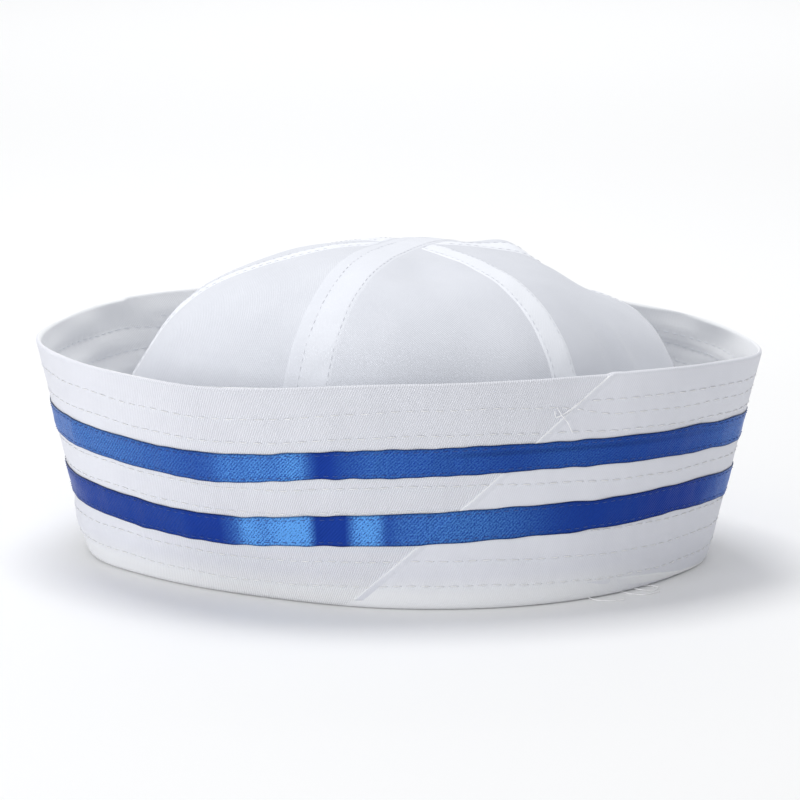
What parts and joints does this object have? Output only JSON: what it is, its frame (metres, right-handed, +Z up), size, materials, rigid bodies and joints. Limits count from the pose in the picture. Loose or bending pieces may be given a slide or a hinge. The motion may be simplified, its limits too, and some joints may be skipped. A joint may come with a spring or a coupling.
{
  "type": "sailor cap",
  "caption": "Soft white cloth cap with a rounded panelled crown inside a turned-up stitched brim that carries blue satin ribbons.",
  "frame": {"origin": "on the floor under the middle of the cap's bounding box", "axes": "+X towards the wearer's left, the long way of the cap; +Y towards the back; +Z up"},
  "size_m": [0.2357, 0.1945, 0.1016],
  "materials": {
    "white_twill": "stitched white cotton twill",
    "white_poplin": "thin white cotton cloth",
    "blue_satin": "glossy blue satin"
  },
  "bodies": {
    "root": {"brim": "white_twill", "crown_panel_1": "white_poplin", "crown_panel_2": "white_poplin", "crown_panel_3": "white_poplin", "crown_panel_4": "white_poplin", "crown_panel_5": "white_poplin", "crown_panel_6": "white_poplin", "crown_seam_long": "white_poplin", "crown_seam_2": "white_poplin", "crown_seam_3": "white_poplin", "crown_seam_5": "white_poplin", "crown_seam_6": "white_poplin", "ribbon_upper": "blue_satin", "ribbon_lower": "blue_satin"}
  },
  "joints": []
}
